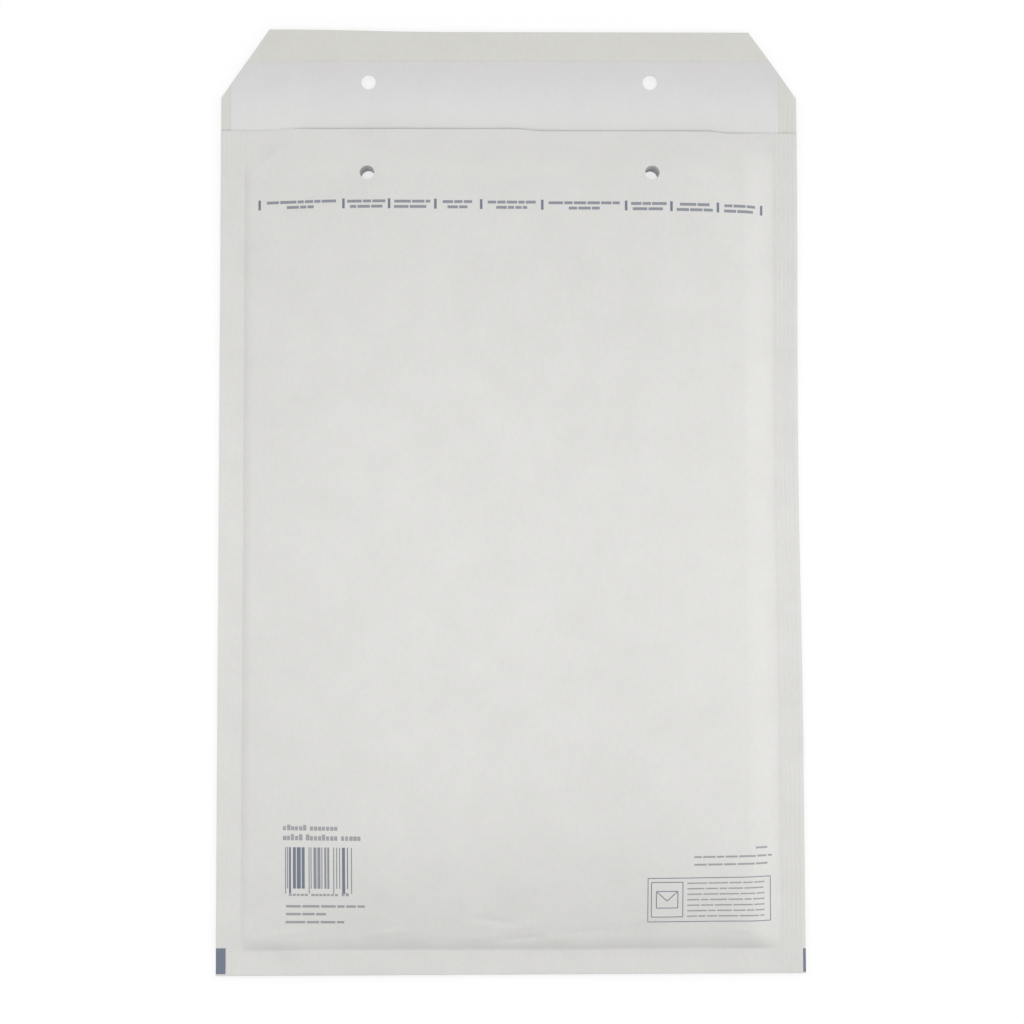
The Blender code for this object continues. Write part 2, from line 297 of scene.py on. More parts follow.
# Light
DOME = 0.738  # strength of the light from all sides
DOME_LEAN = (0.04, 0.24, 0.0)  # more of it comes from the right, and mostly from the flap's side
LAMP_PLACE = (-0.01, -0.03, 0.34)
LAMP_TARGET = (-0.01, -0.03, 0.0)
LAMP_SIZE = (0.80, 0.10)
LAMP_POWER = 0.455
SIDE_PLACE = (1.20, -0.03, 0.065)
SIDE_TARGET = (0.10, -0.03, 0.0)
SIDE_SIZE = (1.00, 0.06)
SIDE_POWER = 2.8
FLOOR_HALF = 4.0
FLOOR_GAP = 0.0002
FLOOR_LEVEL = 0.80
FLOOR_GLOW = 0.76
FLOOR_SHADOW_SHARE = 0.28

# Camera, from the outline of the envelope in the view
CAMERA_PLACE = (-0.0101, -0.0469, 0.7437)
CAMERA_TURN = (3.11, -0.833, -0.094)  # degrees about X, then Y, then Z of the turned camera
CAMERA_LENS = 63.28
CAMERA_SENSOR = 36.0


def ramp(t):
    """Rises from 0 to 1, steep at first and level at the end, as a stuffed edge does."""
    t = np.clip(t, 0.0, 1.0)
    return 1 - (1 - t) ** 2


def ease(t):
    """Rises from 0 to 1, level at both ends."""
    t = np.clip(t, 0.0, 1.0)
    return t * t * (3 - 2 * t)


def hump(t):
    """1 at 0, falling to 0 at 1 and -1."""
    return np.cos(np.clip(t, -1.0, 1.0) * math.pi / 2) ** 2


def soft_noise(x, y, wavelength, seed):
    """A smooth random height between about -1 and 1, the same each time."""
    rng = np.random.RandomState(seed)
    total = np.zeros(np.broadcast(x, y).shape)
    for _ in range(NOISE_WAVES):
        angle, phase = rng.uniform(0, 2 * math.pi, 2)
        rate = 2 * math.pi / wavelength * rng.uniform(*NOISE_RATES)
        total = total + np.cos(rate * (x * math.cos(angle) + y * math.sin(angle)) + phase)
    return total / math.sqrt(NOISE_WAVES)


def foot_line(x):
    """Where the pad starts above the bottom strip."""
    return STRIP_WIDTH + FOOT_WOBBLE * soft_noise(x, 0.0, FOOT_WOBBLE_LENGTH, seed=3)


def rise(first_slope, inward, shoulder, share):
    """The pad's rise from a margin: a first slope, and a slow one that goes on after it."""
    return (1 - share) * first_slope + share * ramp(inward / shoulder)


def pad(x, y):
    """How far a point belongs to the pad: 0 on the pressed margins, 1 on the flat of it."""
    fade = 1 - np.maximum(y - LENGTH, 0.0) / FLAP_LENGTH
    y = np.minimum(y, LENGTH)
    inward = PAD_HALF - np.abs(x)
    slope = np.where(x > 0, ease(inward / EDGE_RIGHT), ramp(inward / EDGE_LEFT))
    share = np.where(x > 0, SHOULDER_SHARE_RIGHT, SHOULDER_SHARE_LEFT)
    side = rise(slope, inward, np.where(x > 0, SHOULDER_RIGHT, SHOULDER_LEFT), share)
    above = y - foot_line(x)
    share = FOOT_END_SHARE + (SHOULDER_SHARE_BOTTOM - FOOT_END_SHARE) * ease(inward / FOOT_END)
    foot = rise(ramp(above / EDGE_BOTTOM), above, SHOULDER_BOTTOM, share)
    past_crease = inward * CORNER_UP + (LENGTH - CORNER_UP - y) * CORNER_IN
    corner = ramp(past_crease / math.hypot(CORNER_UP, CORNER_IN) / EDGE_CORNER)
    floor = np.where(x > 0, CORNER_FLOOR_RIGHT, CORNER_FLOOR_LEFT)
    return side * foot * (floor + (1 - floor) * corner) * fade


def rib(x, y):
    """Height of the lengthwise ribs that the sealing bars press into the side seams."""
    along_ribs = (HALF_WIDTH - RIB_MARGIN - np.abs(x)) / RIB_PITCH
    inside = (along_ribs > 0) & (along_ribs < RIB_COUNT)
    fade = 1 - ease((y - LENGTH) / RIB_OVERRUN)
    return np.where(inside, RIB_HEIGHT * np.sin(math.pi * along_ribs) ** 2, 0.0) * fade


def seam_cockle(x, y):
    """Waves of the pressed margins, which move all their layers together."""
    margin = 1 - ease((PAD_HALF - np.abs(x)) / COCKLE_FADE)
    strip = 1 - ease((y - STRIP_WIDTH) / COCKLE_FADE)
    return COCKLE * soft_noise(x, y, COCKLE_LENGTH, seed=7) * np.maximum(margin, strip)


def creases(x, y, folds=CREASES):
    """Height of the small folds pressed into the front panel."""
    total = np.zeros(np.broadcast(x, y).shape)
    for crease in folds:
        turn = math.radians(crease.angle)
        dx = x - crease.x
        dy = y - TOTAL_LENGTH / 2 - crease.y
        along = dx * math.cos(turn) + dy * math.sin(turn)
        across = dy * math.cos(turn) - dx * math.sin(turn)
        fold = np.maximum(1 - np.abs(across) / crease.width, 0.0) ** 2
        total = total + crease.height * fold * hump(along / crease.length)
    return total


def hollows(x, y):
    """How far the film dips, to keep clear of the folds that go down."""
    down = [fold for fold in CREASES if fold.height < 0]
    return creases(x, y, [fold._replace(width=fold.width * HOLLOW_WIDTH) for fold in down])


def flap_groove(x, y):
    """Depth of the flap's fold line, which runs across the sheet right past the front's edge."""
    from_middle = y - (LENGTH - mouth_dip(x, LENGTH) + GROOVE_PLACE)
    depth = GROOVE_DEPTH * (1 - GROOVE_DEPTH_LOSS * pad(x, y))
    return depth * np.maximum(1 - np.abs(from_middle) / GROOVE_HALF, 0.0)


def back_level(x, y):
    """Underside of the back panel and the flap."""
    curl = FLAP_CURL * (np.maximum(y - LENGTH, 0.0) / FLAP_LENGTH) ** 2
    down = 1 - MOUTH_LIFT * ease(1 - (LENGTH - y) / MOUTH_LIFT_REACH)
    level = SEAM_LOW * (1 - pad(x, y) * down) + rib(x, y) + curl + seam_cockle(x, y)
    return np.maximum(level - flap_groove(x, y), 0.0)


def front_level(x, y, folds=creases):
    """Top of the front panel."""
    middle = LENGTH / 2
    share = pad(x, y)
    top = PAD_HEIGHT - CROWN * ((y - middle) / middle) ** 2
    top = top - MOUTH_SAG * ease(1 - (LENGTH - y) / MOUTH_SAG_REACH)
    waves = WAVE * soft_noise(x, y, WAVE_LENGTH, seed=11) + folds(x, y)
    waves = waves * np.minimum(share * WAVE_RISE, 1.0)
    return SEAM_HIGH + (top - SEAM_HIGH) * share + rib(x, y) + seam_cockle(x, y) + waves


def film_level(x, y):
    """What the film under the front follows: the front panel without its small folds."""
    return front_level(x, y, hollows)


def upright(level, x, y, depth):
    """A depth square to a panel, as a height: more than the depth where it slopes."""
    along_x = level(x + SLOPE_STEP, y) - level(x - SLOPE_STEP, y)
    along_y = level(x, y + SLOPE_STEP) - level(x, y - SLOPE_STEP)
    return depth * np.sqrt(1 + (along_x**2 + along_y**2) / (2 * SLOPE_STEP) ** 2)


def in_frame(x, y, z):
    """Points counted from the bottom fold, in the row frame, with the right edge bowed in."""
    along = hump((y - EDGE_BOW_AT) / EDGE_BOW_REACH)
    bow = EDGE_BOW * along * ease((x - EDGE_BOW_FROM) / EDGE_BOW_WIDTH)
    return np.stack(np.broadcast_arrays(x - bow, y - TOTAL_LENGTH / 2, z), axis=-1)


def over_back(x, y, depth, more=0.0):
    """Points over places on the back, a depth square to the panel and then some height."""
    return in_frame(x, y, back_level(x, y) + upright(back_level, x, y, depth) + more)


def mouth_dip(x, y):
    """How far the front panel is drawn back from the mouth."""
    steps = sum(depth * ease((x - start) / width) for start, width, depth in MOUTH_STEPS)
    return steps * (np.maximum(y, 0.0) / LENGTH) ** DIP_POWER


def under_front(x, y, depth, more=0.0, top=front_level):
    """Points under places on the front, a depth square to the panel and then some height."""
    level = top(x, y) - upright(top, x, y, depth) - more
    return in_frame(x, y - mouth_dip(x, y), level)


def flap_half_width(y):
    """Half the sheet's width, which the cut corners of the flap bring in."""
    taper_length = FLAP_LENGTH - FLAP_SHOULDER
    return HALF_WIDTH - FLAP_TAPER * np.maximum(y - LENGTH - FLAP_SHOULDER, 0.0) / taper_length


def stations(start, *stretches):
    """Positions along a line. Each stretch is where it ends and its longest step."""
    found = [start]
    for stop, step in stretches:
        first = found[-1]
        count = max(1, math.ceil((stop - first) / step - ROUNDING))
        found += [first + (stop - first) * (i + 1) / count for i in range(count)]
    return np.array(found)


def sheet_columns():
    """Positions across the paper, close together on the ribs and slopes."""
    last_rib = HALF_WIDTH - RIB_MARGIN
    first_rib = last_rib - RIB_COUNT * RIB_PITCH
    rib_step = RIB_PITCH / 4
    return stations(
        -HALF_WIDTH,
        (-last_rib, RIB_MARGIN),
        (-first_rib, rib_step),
        (-PAD_HALF, RIB_MARGIN),
        (-PAD_HALF + 0.012, 0.0006),
        (-PAD_HALF + 0.028, 0.0014),
        (PAD_HALF - 0.032, 0.0038),
        (PAD_HALF - 0.018, 0.0014),
        (PAD_HALF, 0.0008),
        (first_rib, RIB_MARGIN),
        (last_rib, rib_step),
        (HALF_WIDTH, RIB_MARGIN),
    )


def front_rows():
    """Positions up the front panel, close together at the pad's foot and at the mouth."""
    return stations(
        FOLD_RADIUS,
        (STRIP_WIDTH - 0.001, 0.0012),
        (STRIP_WIDTH + 0.014, 0.0005),
        (STRIP_WIDTH + 0.040, 0.0011),
        (LENGTH - 0.034, 0.0044),
        (LENGTH - 0.020, 0.0014),
        (LENGTH, 0.0008),
    )


def back_rows():
    """Positions up the back panel and on along the flap."""
    return stations(
        FOLD_RADIUS,
        (STRIP_WIDTH, 0.0015),
        (STRIP_WIDTH + 0.012, 0.0010),
        (LENGTH - 0.034, 0.0070),
        (LENGTH + GROOVE_ROWS[0], 0.0018),
        (LENGTH + GROOVE_ROWS[1], GROOVE_ROW_STEP),
        (LENGTH + FLAP_SHOULDER, 0.0014),
        (TOTAL_LENGTH, 0.0016),
    )


def grid_faces(rows, columns):
    """Corner numbers of the faces of a grid of points."""
    corner = np.arange(rows * columns).reshape(rows, columns)
    left_low, right_low = corner[:-1, :-1], corner[:-1, 1:]
    left_high, right_high = corner[1:, :-1], corner[1:, 1:]
    return np.stack([left_low, right_low, right_high, left_high], axis=-1).reshape(-1, 4)


def new_object(name, data):
    """An object in the scene, with the data that it shows."""
    obj = bpy.data.objects.new(name, data)
    bpy.context.scene.collection.objects.link(obj)
    return obj


def object_from(bm, name):
    """An object with the mesh that was built in bm, which is freed."""
    mesh = bpy.data.meshes.new(name)
    bm.to_mesh(mesh)
    bm.free()
    return new_object(name, mesh)


def add_object(name, points, faces, materials=()):
    """A mesh object from points and corner numbers."""
    mesh = bpy.data.meshes.new(name)
    mesh.from_pydata([tuple(point) for point in points], [], [tuple(face) for face in faces])
    mesh.update()
    for material in materials:
        mesh.materials.append(material)
    return new_object(name, mesh)


def closed_layer(lower, upper):
    """Points and faces of a closed layer between two grids of points."""
    rows, columns = lower.shape[:2]
    count = rows * columns
    faces = grid_faces(rows, columns)
    corner = np.arange(count).reshape(rows, columns)
    rim = np.concatenate(
        [corner[0, :-1], corner[:-1, -1], corner[-1, :0:-1], corner[:0:-1, 0]]
    )
    following = np.roll(rim, -1)
    wall = np.stack([rim, following, following + count, rim + count], axis=-1)
    points = np.concatenate([lower.reshape(-1, 3), upper.reshape(-1, 3)])
    return points, np.concatenate([faces[:, ::-1], faces + count, wall])


def bake_modifiers(obj):
    """Replaces an object's mesh by what its modifiers make of it."""
    bpy.context.view_layer.update()
    depsgraph = bpy.context.evaluated_depsgraph_get()
    mesh = bpy.data.meshes.new_from_object(obj.evaluated_get(depsgraph))
    mesh.name = obj.name
    obj.modifiers.clear()
    obj.data = mesh


def shade(obj, sharp_angle=SHARP_ANGLE):
    obj.data.shade_smooth()
    obj.data.set_sharp_from_angle(angle=math.radians(sharp_angle))


def cut_with(obj, cutter):
    cut = obj.modifiers.new("cut_" + cutter.name, "BOOLEAN")
    cut.operation = "DIFFERENCE"
    cut.solver = "EXACT"
    cut.object = cutter


def hole_places():
    """The four punched holes, two through the body and two through the flap."""
    for x in (-HOLE_SPACING / 2, HOLE_SPACING / 2):
        for y in (LENGTH - HOLE_FROM_MOUTH, LENGTH + HOLE_FROM_MOUTH):
            yield x, y - TOTAL_LENGTH / 2


def fastener_punch():
    """The pins that cut the holes. It is removed once they have cut."""
    bm = bmesh.new()
    for x, y in hole_places():
        bmesh.ops.create_cone(
            bm,
            cap_ends=True,
            segments=HOLE_SIDES,
            radius1=HOLE_RADIUS,
            radius2=HOLE_RADIUS,
            depth=PUNCH_LENGTH,
            matrix=Matrix.Translation((x, y, PUNCH_MIDDLE)),
        )
    return object_from(bm, "punch")


def tip_step(x, y):
    """How far the flap's edge is drawn back by the slant in it."""
    along_flap = np.maximum(y - LENGTH, 0.0) / FLAP_LENGTH
    return TIP_STEP * ease((x - TIP_STEP_FROM) / TIP_STEP_WIDTH) * along_flap**TIP_POWER


def sheet_points():
    """The folded paper's outer side, from the flap's edge down the back and up the front."""
    columns = sheet_columns()
    rows = back_rows()[::-1, None]
    across = columns * flap_half_width(rows) / HALF_WIDTH
    back = over_back(across, rows - tip_step(across, rows), 0.0)
    angles = np.radians(np.arange(*FOLD_ANGLES))[:, None]
    around = FOLD_RADIUS * (1 - np.cos(angles))
    level = SEAM_MIDDLE + FOLD_RADIUS * np.sin(angles)
    fold = in_frame(columns, around, level + rib(columns, around) + seam_cockle(columns, around))
    front = under_front(columns, front_rows()[:, None], 0.0)
    return np.concatenate([back, fold, front])


def outer_sheet(punch, outside, inside):
    """The envelope's paper, one sheet folded across the bottom."""
    points = sheet_points()
    sheet = add_object(
        "paper_sheet", points.reshape(-1, 3), grid_faces(*points.shape[:2]), [outside, inside]
    )
    thickness = sheet.modifiers.new("paper", "SOLIDIFY")
    thickness.thickness = PAPER
    thickness.offset = -1.0
    thickness.material_offset = 1
    thickness.use_even_offset = True
    thickness.use_quality_normals = True
    cut_with(sheet, punch)
    bake_modifiers(sheet)
    shade(sheet)
    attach(sheet, "root")
    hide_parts("envelope_paper")
    return sheet


def film_skins():
    """The two flat skins of the lining, under the front and over the back."""
    columns = stations(
        -HALF_WIDTH + FILM_INSET,
        (-PAD_HALF, 0.00045),
        (-PAD_HALF + 0.022, 0.0012),
        (PAD_HALF - 0.018, 0.0040),
        (PAD_HALF, 0.0016),
        (HALF_WIDTH - FILM_INSET, 0.00045),
    )
    rows = stations(
        2 * FOLD_RADIUS + FILM_INSET,
        (STRIP_WIDTH + 0.020, 0.0012),
        (LENGTH - 0.034, 0.0070),
        (LENGTH - LINING_SETBACK, 0.0016),
    )[:, None]
    deep = FILM_DEPTH + FILM_SKIN
    back = closed_layer(over_back(columns, rows, FILM_DEPTH), over_back(columns, rows, deep))
    lower, upper = [under_front(columns, rows, d, top=film_level) for d in (deep, FILM_DEPTH)]
    return back, closed_layer(lower, upper)


def bubble_places(shift):
    """Centres of one film's bubbles, in rows that are offset by half a pitch."""
    row_pitch = BUBBLE_PITCH * math.sin(math.radians(60))
    row_count = int((LENGTH - STRIP_WIDTH) / row_pitch)
    for row in range(row_count + 1):
        y = STRIP_WIDTH + BUBBLE_RADIUS + row * row_pitch + shift * row_pitch / 2
        start = -PAD_HALF + BUBBLE_RADIUS + ((row % 2) / 2 + shift / 2) % 1 * BUBBLE_PITCH
        for x in np.arange(start, PAD_HALF - BUBBLE_RADIUS, BUBBLE_PITCH):
            yield x, y


def bubble_shape(segments):
    """Offsets across, offsets along and heights of a bubble's points, and its faces."""
    angles = np.arange(segments) * 2 * math.pi / segments
    wide, high = np.array(BUBBLE_PROFILE).T
    across = np.append(np.outer(wide, np.cos(angles)), 0.0) * BUBBLE_RADIUS
    along = np.append(np.outer(wide, np.sin(angles)), 0.0) * BUBBLE_RADIUS
    heights = np.append(np.repeat(high, segments), 1.0)
    corner = np.arange(len(BUBBLE_PROFILE) * segments).reshape(-1, segments)
    after = np.roll(corner, -1, axis=1)
    walls = np.stack([corner[:-1], after[:-1], after[1:], corner[1:]], axis=-1)
    faces = [tuple(wall) for wall in walls.reshape(-1, 4)]
    faces += [(k, following, corner.size) for k, following in zip(corner[-1], after[-1])]
    faces.append(tuple(corner[0, ::-1]))
    return across, along, heights, faces


def film_rooms(x, y):
    """Points of the film over the back, and the height from there to the film under the front."""
    deep = FILM_DEPTH + FILM_SKIN / 2
    low = over_back(x, y, deep)
    room = film_level(x, y) - upright(film_level, x, y, deep) - low[..., 2]
    return low, room


def bubbles_at(places, segments, upwards):
    """Closed bubbles of one film around their centres, as high as the room there allows."""
    across, along, heights, faces = bubble_shape(segments)
    film_end = LENGTH - LINING_SETBACK
    x = places[:, :1] + across
    y = np.minimum(places[:, 1:] + along, film_end)
    low, room = film_rooms(x, y)
    cut_open = places[:, 1] > film_end - BUBBLE_RADIUS
    full = np.where(cut_open, BUBBLE_HEIGHT * BUBBLE_CUT_HEIGHT, BUBBLE_HEIGHT)
    height = np.minimum(full, BUBBLE_ROOM * room.min(axis=1))
    rise_of_points = height[:, None] * heights
    if upwards:
        low[..., 2] += rise_of_points
        points = low
    else:
        points = under_front(x, y, FILM_DEPTH + FILM_SKIN / 2, rise_of_points, film_level)
        faces = [face[::-1] for face in faces]
    return [(bubble, faces) for bubble in points[height > BUBBLE_LEAST]]


def all_bubbles():
    """The bubbles of both films, which face each other, and apart from them those at holes."""
    film_end = LENGTH - LINING_SETBACK
    holes = np.array([(x, y + TOTAL_LENGTH / 2) for x, y in hole_places()])
    whole, punched = [], []
    for upwards in (True, False):
        places = np.array(list(bubble_places(0 if upwards else 1)))
        places = places[places[:, 1] < film_end]
        from_hole = np.linalg.norm(places[:, None] - holes, axis=2).min(axis=1)
        at_hole = from_hole < HOLE_RADIUS + BUBBLE_RADIUS
        near_mouth = places[:, 1] > film_end - FINE_BUBBLE_REACH
        punched += bubbles_at(places[at_hole], FINE_BUBBLE_SIDES, upwards)
        whole += bubbles_at(places[near_mouth & ~at_hole], FINE_BUBBLE_SIDES, upwards)
        whole += bubbles_at(places[~near_mouth & ~at_hole], BUBBLE_SIDES, upwards)
    return whole, punched


def hole_rims():
    """The film's edges in the body's two holes, drawn in along them by the punch."""
    angles = np.arange(HOLE_SIDES) * 2 * math.pi / HOLE_SIDES
    corner = np.arange(4 * HOLE_SIDES).reshape(4, HOLE_SIDES)
    after = np.roll(corner, -1, axis=1)
    faces = np.stack([corner, after, np.roll(after, -1, axis=0), np.roll(corner, -1, axis=0)], -1)
    radii = np.array(RIM_RADII)[:, None]
    for x, y in hole_places():
        if y + TOTAL_LENGTH / 2 > LENGTH:
            continue
        across = x + radii * np.cos(angles)
        along = y + radii * np.sin(angles)
        place = across, along + TOTAL_LENGTH / 2
        low = over_back(*place, FILM_DEPTH)[..., 2]
        high = film_level(*place) - upright(film_level, *place, FILM_DEPTH)
        lower = np.stack([across, along, low], axis=-1)
        upper = np.stack([across, along, high], axis=-1)
        yield np.concatenate([*lower, *upper[::-1]]), faces.reshape(-1, 4)


def join_meshes(parts):
    """Points and faces of several closed shapes as one list each."""
    points, faces, count = [], [], 0
    for part_points, part_faces in parts:
        points.append(part_points)
        faces += [tuple(corner + count for corner in face) for face in part_faces]
        count += len(part_points)
    return np.concatenate(points), faces


def bubble_lining(punch, film):
    """The bubble film that lines the envelope."""
    lining = add_object("bubble_film", *join_meshes(film_skins()), [film])
    whole, punched = all_bubbles()
    whole += hole_rims()
    whole, punched = [add_object("bubbles", *join_meshes(b), [film]) for b in (whole, punched)]
    for obj in (lining, punched):
        cut_with(obj, punch)
        bake_modifiers(obj)
    bm = bmesh.new()
    for obj in (lining, whole, punched):
        bm.from_mesh(obj.data)
    bm.to_mesh(lining.data)
    bm.free()
    bpy.data.objects.remove(whole)
    bpy.data.objects.remove(punched)
    shade(lining, BUBBLE_SHARP_ANGLE)
    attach(lining, "root")
    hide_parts("bubble_lining")
    return lining


def flap_strip(name, start, stop, ends, depths, lift, punch, material):
    """A thin strip across the flap, whose two long edges may stand off the paper."""
    shares = stations(0.0, (0.06, 0.004), (0.94, 0.015), (1.0, 0.004))
    stretches = [(LENGTH + stop, 0.0011)]
    if start < 0:
        stretches.insert(0, (LENGTH + GROOVE_ROWS[1], GROOVE_ROW_STEP))
    rows = stations(LENGTH + start, *stretches)[:, None]
    outline = flap_half_width(rows) - CLOSURE_INSET
    left, right = np.maximum(ends[0], -outline), np.minimum(ends[1], outline)
    columns = left + (right - left) * shares
    to_edge = np.minimum(rows - LENGTH - start, LENGTH + stop - rows)
    noise = soft_noise(columns, rows, LIFT_LENGTH, seed=23)
    uneven = 1 - LIFT_UNEVEN + LIFT_UNEVEN * noise
    raised = lift * (1 - ease(to_edge / LIFT_REACH)) * uneven
    layer = closed_layer(*[over_back(columns, rows, depth, raised) for depth in depths])
    strip = add_object(name, *layer, [material])
    cut_with(strip, punch)
    bake_modifiers(strip)
    shade(strip)
    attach(strip, "root")
    return strip


def closure(punch, adhesive, liner):
    """The adhesive band on the flap and the liner that is peeled off it."""
    reach = (ADHESIVE_FROM, ADHESIVE_TO, ADHESIVE_ENDS)
    band = flap_strip("adhesive_band", *reach, ADHESIVE_DEPTHS, 0.0, punch, adhesive)
    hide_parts("adhesive_strip")
    reach = (LINER_FROM, LINER_TO, LINER_ENDS)
    cover = flap_strip("liner_strip", *reach, LINER_DEPTHS, LINER_LIFT, punch, liner)
    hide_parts("release_liner")


class Front:
    """The front panel as modelled, for laying print on it."""

    def __init__(self):
        self.columns = sheet_columns()
        self.rows = front_rows()
        self.points = under_front(self.columns, self.rows[:, None], 0.0)

    def above(self, x, y, lift):
        """Points a lift above the places x, y of the row frame."""
        y = y + TOTAL_LENGTH / 2
        y = y + mouth_dip(x, y)
        i = np.clip(np.searchsorted(self.columns, x) - 1, 0, len(self.columns) - 2)
        j = np.clip(np.searchsorted(self.rows, y) - 1, 0, len(self.rows) - 2)
        s = (x - self.columns[i]) / (self.columns[i + 1] - self.columns[i])
        t = (y - self.rows[j]) / (self.rows[j + 1] - self.rows[j])
        s, t = s[..., None], t[..., None]
        low = self.points[j, i] * (1 - s) + self.points[j, i + 1] * s
        high = self.points[j + 1, i] * (1 - s) + self.points[j + 1, i + 1] * s
        return low * (1 - t) + high * t + np.array([0.0, 0.0, lift])


class Print:
    """Ink laid on the front panel, as thin closed patches that follow the paper."""

    def __init__(self, front, inks, cell=INK_CELL):
        self.front = front
        self.inks = inks
        self.cell = cell
        self.parts = []
        self.ink_of_face = []

    def shares(self, *sides):
        """Even steps from 0 to 1, so many that none is longer than a cell along these sides."""
        longest = max(np.linalg.norm(side) for side in sides)
        return np.linspace(0, 1, max(1, math.ceil(longest / self.cell)) + 1)

    def patch(self, corners, ink):
        """A four-sided patch, its corners counterclockwise from the lower left."""
        a, b, c, d = [np.array(corner, float) for corner in corners]
        s = self.shares(b - a, c - d)[None, :, None]
        t = self.shares(d - a, c - b)[:, None, None]
        flat = (a * (1 - s) + b * s) * (1 - t) + (d * (1 - s) + c * s) * t
        x, y = flat[..., 0], flat[..., 1]
        lifts = (INK_LIFT, INK_LIFT + INK_THICKNESS)
        points, faces = closed_layer(*[self.front.above(x, y, lift) for lift in lifts])
        self.parts.append((points, faces))
        self.ink_of_face += [ink] * len(faces)

    def box(self, left, right, low, high, ink=FULL_INK):
        self.patch([(left, low), (right, low), (right, high), (left, high)], ink)

    def stroke(self, start, end, width, ink=FULL_INK):
        """A straight line of ink."""
        start, end = np.array(start, float), np.array(end, float)
        along = (end - start) / np.linalg.norm(end - start)
        side = np.array([-along[1], along[0]]) * width / 2
        self.patch([start - side, end - side, end + side, start + side], ink)

    def outline(self, corners, width, ink=FULL_INK):
        """A closed run of straight lines."""
        for start, end in zip(corners, corners[1:] + corners[:1]):
            self.stroke(start, end, width, ink)

    def words(self, rng, left, right, low, height, letter, ink=FAINT_INK):
        """A line of small print as plain blocks, one for each word."""
        x = left
        while x + letter * SHORTEST_WORD < right:
            end = min(x + letter * rng.randint(*WORD_LETTERS), right)
            self.box(x, end, low, low + height * WORD_HEIGHT, ink)
            x = end + letter * WORD_GAP

    def letters(self, rng, left, right, low, height, letter, ink=FAINT_INK):
        """A line of larger print as plain blocks, one for each letter."""
        x = left
        to_gap = rng.randint(*WORD_LETTERS)
        while x + letter * NARROWEST_LETTER <= right:
            width = letter * rng.uniform(*LETTER_WIDTHS)
            tall = height * rng.choice(LETTER_HEIGHTS)
            self.box(x, min(x + width, right), low, low + tall, ink)
            x += letter
            to_gap -= 1
            if to_gap == 0:
                x += letter * LETTER_WORD_GAP
                to_gap = rng.randint(*WORD_LETTERS)

    def finish(self, name):
        piece = add_object(name, *join_meshes(self.parts), self.inks)
        piece.data.polygons.foreach_set("material_index", self.ink_of_face)
        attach(piece, "root")


def scale_row(front, inks):
    """The row of ticked cells under the mouth."""
    drawn = Print(front, inks)
    rng = np.random.RandomState(seed=5)
    span = TICKS[-1] - TICKS[0]

    def middle(x):
        return TICK_Y - TICK_DROP * (x - TICKS[0]) / span

    for x in TICKS:
        low = middle(x) - TICK_HEIGHT / 2
        drawn.box(x - TICK_WIDTH / 2, x + TICK_WIDTH / 2, low, low + TICK_HEIGHT)
    for left, right, widths in zip(TICKS, TICKS[1:], CELL_LINES):
        x = (left + right) / 2
        for width, rise in zip(widths, (CELL_LINE_RISE, -CELL_LINE_RISE)):
            low = middle(x) + rise - CELL_LINE_HEIGHT / 2
            line = (x - width / 2, x + width / 2, low, CELL_LINE_HEIGHT, CELL_LETTER)
            drawn.words(rng, *line, LIGHT_INK)
    drawn.finish("printed_scale_row")


def bar_pattern(drawn):
    """Upright bars of mixed widths, the first of each group longer. They stand for no code."""
    low, high = BAR_HEIGHTS
    x = BARS_FROM
    for ink, units in BAR_GROUPS:
        for k, (bar, gap) in enumerate(zip(units[::2], units[1::2])):
            foot = low - BAR_OVERRUN if k == 0 else low
            drawn.box(x, x + BAR_UNIT * bar, foot, high, ink)
            x += BAR_UNIT * (bar + gap)


def code_block(front, inks):
    """Two lines of print, a plain bar pattern with a line under it, and three small lines."""
    drawn = Print(front, inks)
    rng = np.random.RandomState(seed=8)
    bar_pattern(drawn)
    for line in CODE_LETTERS:
        drawn.letters(rng, *line)
    for line in CODE_LINES:
        drawn.words(rng, *line, SMALL_HEIGHT, SMALL_LETTER)
    drawn.finish("printed_code_block")


def envelope_sign(drawn, left, right, low, high):
    """A plain picture of a closed envelope, in a frame."""
    margin_x = (right - left) * SIGN_MARGINS[0]
    margin_y = (high - low) * SIGN_MARGINS[1]
    drawn.outline([(left, low), (right, low), (right, high), (left, high)], SIGN_LINE)
    x0, x1 = left + margin_x, right - margin_x
    y0, y1 = low + margin_y, high - margin_y
    drawn.outline([(x0, y0), (x1, y0), (x1, y1), (x0, y1)], SIGN_LINE)
    middle = ((x0 + x1) / 2, y0 + (y1 - y0) * SIGN_POINT)
    drawn.stroke((x0, y1), middle, SIGN_LINE)
    drawn.stroke(middle, (x1, y1), SIGN_LINE)


def notice_block(front, inks):
    """Small lines, and a framed box with a plain picture of an envelope and more lines."""
    drawn = Print(front, inks)
    rng = np.random.RandomState(seed=13)
    left, right, low, high = NOTICE_BOX
    drawn.outline([(left, low), (right, low), (right, high), (left, high)], FRAME_LINE)
    envelope_sign(drawn, *SIGN_BOX)
    for line in NOTICE_LINES:
        drawn.words(rng, *line, NOTICE_HEIGHT, SMALL_LETTER)
    x0, x1, first = NOTICE_TEXT
    for k in range(NOTICE_ROWS):
        low = first - k * NOTICE_ROW_PITCH
        drawn.words(rng, x0, x1, low, NOTICE_TEXT_HEIGHT, SMALL_LETTER)
    drawn.finish("printed_notice_block")


def edge_marks(front, inks):
    """The two register marks at the ends of the bottom strip."""
    drawn = Print(front, inks[:1], EDGE_MARK_CELL)
    for mark in EDGE_MARKS:
        drawn.box(*mark)
    drawn.finish("printed_edge_marks")


def set_inputs(node, inputs):
    """Gives each of these inputs of a node a value, or links it to another node's output."""
    for name, value in inputs.items():
        if isinstance(value, bpy.types.NodeSocket):
            node.id_data.links.new(value, node.inputs[name])
        else:
            node.inputs[name].default_value = value


